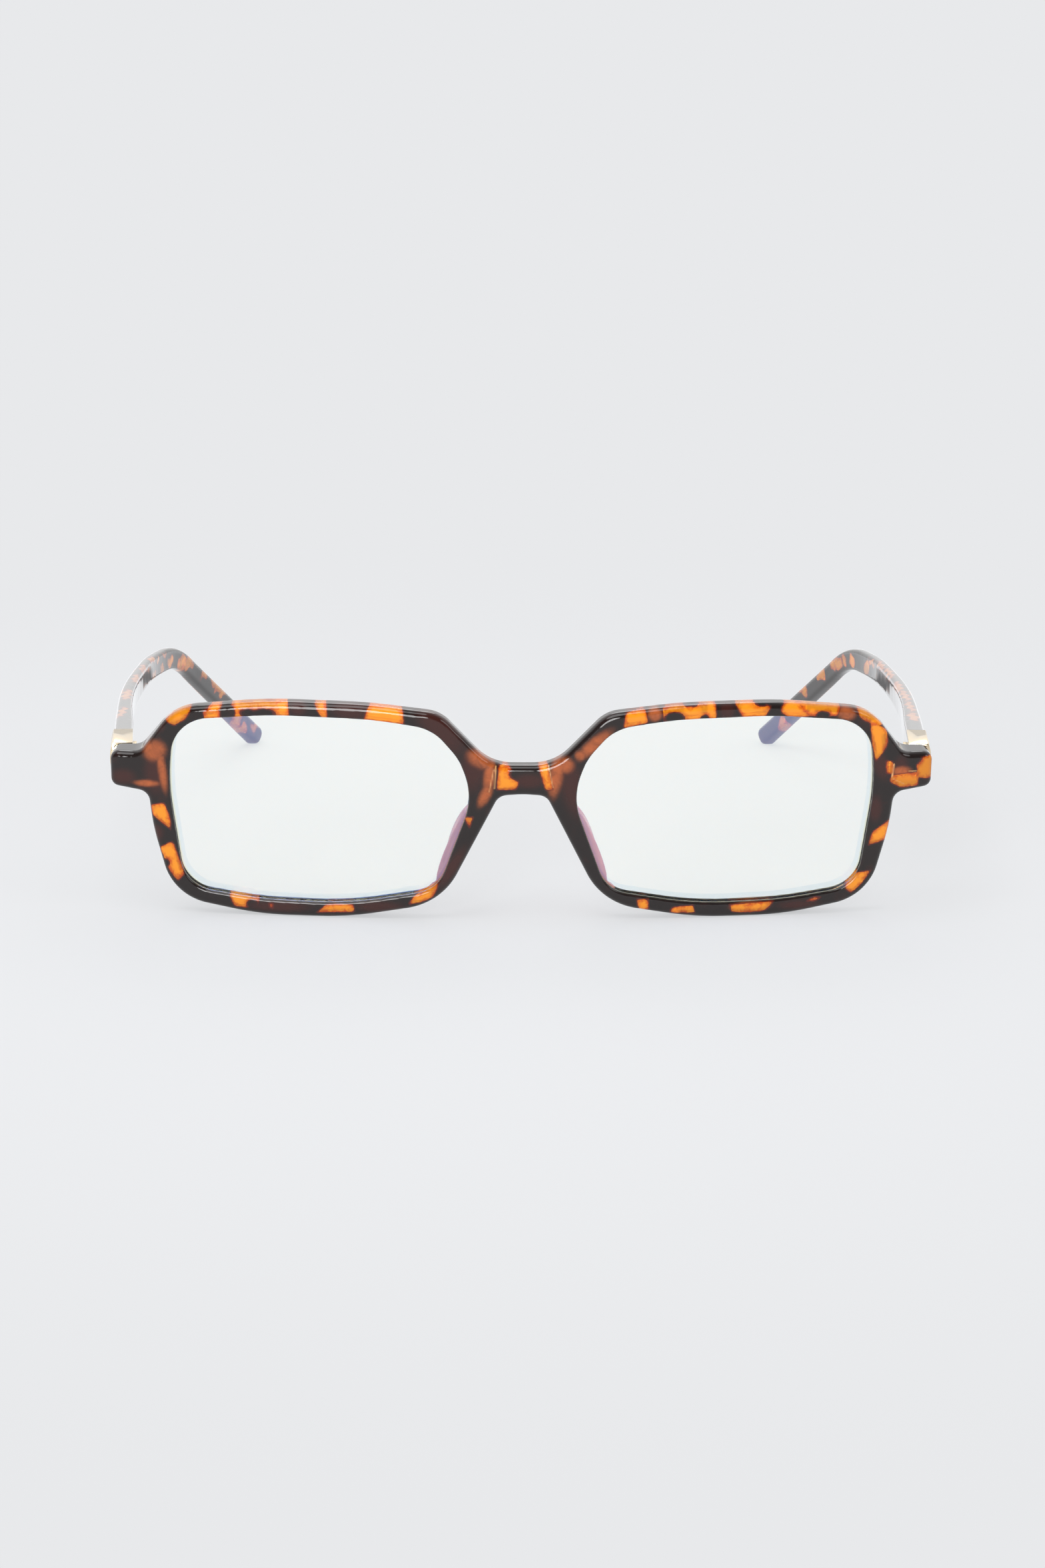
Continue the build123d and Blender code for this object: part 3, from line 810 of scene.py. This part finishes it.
def tableMaterial():
    material, tree, surface = newMaterial("table")
    rays, colour, seen = backdropShade(tree)
    mirrored = calc(tree, "SUBTRACT", rays["Is Glossy Ray"], rays["Is Transmission Ray"])
    mirrored = calc(tree, "MAXIMUM", mirrored, 0.0)
    back = fade(tree, studioLook["glowReach"], separate(tree, "Object")["Y"])
    extra = calc(tree, "MULTIPLY", calc(tree, "MULTIPLY", back, mirrored), studioLook["tableGlow"])
    glow = tree.nodes.new("ShaderNodeEmission")
    tree.links.new(colour, glow.inputs["Color"])
    tree.links.new(calc(tree, "ADD", extra, 1.0), glow.inputs["Strength"])
    # near the glasses the table also takes light and shadow
    away = addNode(tree, "ShaderNodeVectorMath", operation="LENGTH")
    place = tree.nodes.new("ShaderNodeTexCoord").outputs["Object"]
    tree.links.new(place, away.inputs[0])
    reach, least = studioLook["shadowReach"], studioLook["tableShow"]
    even = fade(tree, reach, away.outputs["Value"], least, 1.0, "EASE")
    share = calc(tree, "MULTIPLY", calc(tree, "MAXIMUM", seen, rays["Is Glossy Ray"]), even)
    plain = addNode(tree, "ShaderNodeBsdfDiffuse", Color=(*studioLook["tablePaint"], 1.0))
    tree.links.new(mixShader(tree, share, plain.outputs["BSDF"], glow.outputs["Emission"]), surface)
    return material


def buildTable():
    bm = bmesh.new()
    bmesh.ops.create_grid(bm, x_segments=2, y_segments=2, size=studioLook["tableSize"])
    mesh = bpy.data.meshes.new("table")
    bm.to_mesh(mesh)
    bm.free()
    table = linkPiece("table", mesh)
    table.data.materials.append(tableMaterial())


def skyLight(tree, colour, strength=1.0):
    node = addNode(tree, "ShaderNodeBackground", Strength=strength)
    tree.links.new(colour, node.inputs["Color"])
    return node.outputs["Background"]


def buildSky():
    world = bpy.data.worlds.new("studio")
    bpy.context.scene.world = world
    world.use_nodes = True
    tree = world.node_tree
    tree.nodes.clear()
    out = tree.nodes.new("ShaderNodeOutputWorld")
    rays, colour, seen = backdropShade(tree)
    white = (1.0, 1.0, 1.0, 1.0)
    plain = addNode(tree, "ShaderNodeBackground", Color=white, Strength=studioLook["skyStrength"])
    # polished surfaces mirror a bright backdrop behind the glasses and a dim studio in front
    direction = separate(tree, "Generated")
    height = toShare(tree, direction["Z"])
    brightest = studioLook["glossTop"]
    front = ramp(tree, [(level, near) for level, near, _ in studioLook["gloss"]], height)
    behind = ramp(tree, [(level, far / brightest) for level, _, far in studioLook["gloss"]], height)
    side = fade(tree, studioLook["sideReach"], toShare(tree, direction["Y"]))
    mirrored = mixShader(tree, side, skyLight(tree, front), skyLight(tree, behind, brightest))
    lit = mixShader(tree, rays["Is Glossy Ray"], plain.outputs["Background"], mirrored)
    tree.links.new(mixShader(tree, seen, lit, skyLight(tree, colour)), out.inputs["Surface"])


def buildLights():
    for index, (place, size, power, aim) in enumerate(studioLook["softBoxes"]):
        light = bpy.data.lights.new(f"softBox{index}", "AREA")
        light.shape = "DISK"
        light.size = size
        light.energy = power
        lamp = linkPiece(f"softBox{index}", light)
        lamp.location = place
        away = Vector(place) - Vector(aim)
        lamp.rotation_euler = away.to_track_quat("Z", "Y").to_euler()


def buildCamera():
    # matched to the photograph's angle
    data = bpy.data.cameras.new("camera")
    data.sensor_width = cameraLook["sensor"]
    data.lens = cameraLook["lens"]
    data.clip_start, data.clip_end = cameraLook["clip"]
    camera = linkPiece("camera", data)
    turn = Matrix.Rotation(math.radians(-cameraLook["turn"]), 4, "Z")
    tilt = Matrix.Rotation(math.radians(90 - cameraLook["tilt"]), 4, "X")
    roll = Matrix.Rotation(math.radians(cameraLook["roll"]), 4, "Z")
    camera.matrix_world = Matrix.Translation(cameraLook["place"]) @ turn @ tilt @ roll
    bpy.context.scene.camera = camera


frontShell = tortoiseMaterial("tortoiseshell", shellLook["frontCoat"])
templeShell = tortoiseMaterial("templeTortoiseshell", shellLook["templeCoat"])
metals = {name: metalMaterial(name) for name in metalLook}
clearLens = lensMaterial()
print("materials made")

buildFront(frontShell)
for side, sign in (("left", -1), ("right", 1)):
    buildTemple(side, sign, templeShell)
    buildMetal(side, metals)
    buildLens(side, clearLens)

buildTable()
buildSky()
buildLights()
buildCamera()
bpy.context.scene.view_settings.view_transform = "Standard"
print("studio made")
